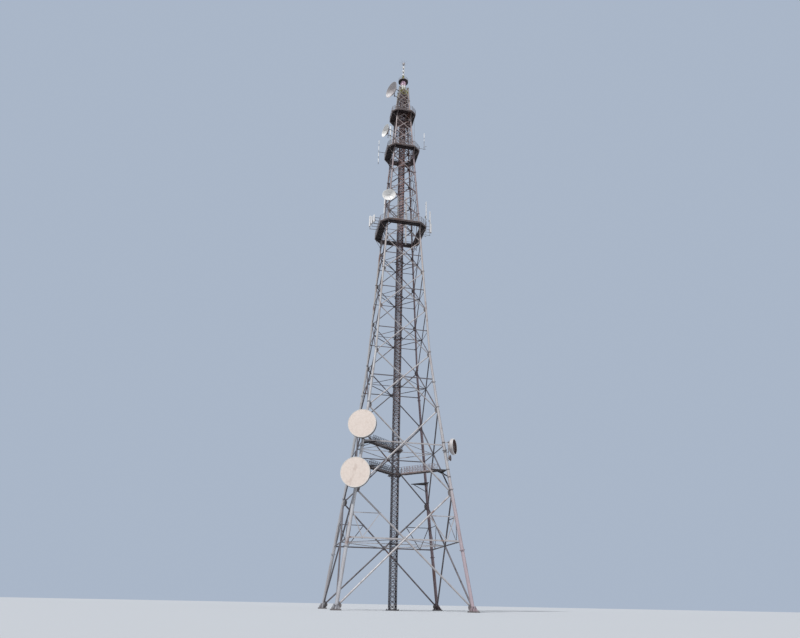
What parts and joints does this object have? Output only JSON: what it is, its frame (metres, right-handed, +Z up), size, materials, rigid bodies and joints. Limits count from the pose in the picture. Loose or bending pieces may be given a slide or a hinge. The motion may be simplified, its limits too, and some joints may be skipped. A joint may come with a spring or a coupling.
{
  "type": "radio relay tower, 1:10 scale model",
  "caption": "Scale model of a four-legged lattice radio tower with a core shaft, crossed bracing, walkways, railed platforms, dish antennas and a mast head.",
  "frame": {"origin": "ground level on the tower's centre line", "axes": "+Z up, the face between the two near legs looks along -Y, +X to its right"},
  "size_m": [1.79, 1.79, 9.9999],
  "materials": {
    "galvanised_steel": "silver paint over galvanising, satin, with rust at the joints",
    "painted_steel": "weathered silver paint, satin, reddish where it wears",
    "weathered_steel": "matt brown oxide coat",
    "walkway_steel": "matt dark grey with rust",
    "railing_steel": "weathered light grey paint",
    "dish_shell": "off-white enamel, satin",
    "dish_white": "white enamel, satin",
    "radome": "cream glass-fibre cover, matt",
    "antenna_plastic": "white glass-fibre cover, semi-gloss"
  },
  "bodies": {
    "root": {"big_platform": "walkway_steel", "big_platform_railing": "railing_steel", "core_foot": "weathered_steel", "core_lower": "weathered_steel", "core_middle": "weathered_steel", "core_upper": "weathered_steel", "corner_landing": "walkway_steel", "deck_pole_left": "galvanised_steel", "deck_pole_right": "galvanised_steel", "deck_pole_upper": "galvanised_steel", "dish_front_high": "dish_shell", "dish_front_high_radome": "radome", "dish_front_low": "dish_shell", "dish_front_low_radome": "radome", "dish_right": "dish_white", "dish_right_small": "dish_white", "dish_spire_high": "dish_white", "dish_spire_low": "dish_white", "dish_spire_middle": "dish_white", "head_cap": "weathered_steel", "head_mast": "weathered_steel", "head_panels": "antenna_plastic", "high_bridge": "walkway_steel", "leg_back_left": "galvanised_steel", "leg_back_right": "galvanised_steel", "leg_front_left": "galvanised_steel", "leg_front_right": "galvanised_steel", "low_bridge_left": "walkway_steel", "low_bridge_right": "walkway_steel", "lower_bracing_back": "painted_steel", "lower_bracing_front": "painted_steel", "lower_bracing_left": "painted_steel", "lower_bracing_right": "painted_steel", "middle_bracing_back": "painted_steel", "middle_bracing_front": "painted_steel", "middle_bracing_left": "painted_steel", "middle_bracing_right": "painted_steel", "middle_platform": "walkway_steel", "middle_platform_railing": "railing_steel", "panel_antennas_left": "antenna_plastic", "panel_antennas_right": "antenna_plastic", "plan_bracing_1": "painted_steel", "plan_bracing_2": "painted_steel", "plan_bracing_3": "painted_steel", "plan_bracing_4": "painted_steel", "plan_bracing_5": "painted_steel", "plan_bracing_6": "painted_steel", "ring_platform": "walkway_steel", "spire_bracing_back": "painted_steel", "spire_bracing_front": "painted_steel", "spire_bracing_left": "painted_steel", "spire_bracing_right": "painted_steel", "top_mast": "antenna_plastic", "upper_platform": "walkway_steel", "upper_platform_railing": "railing_steel", "whip_left": "antenna_plastic", "whip_right": "antenna_plastic"}
  },
  "joints": []
}
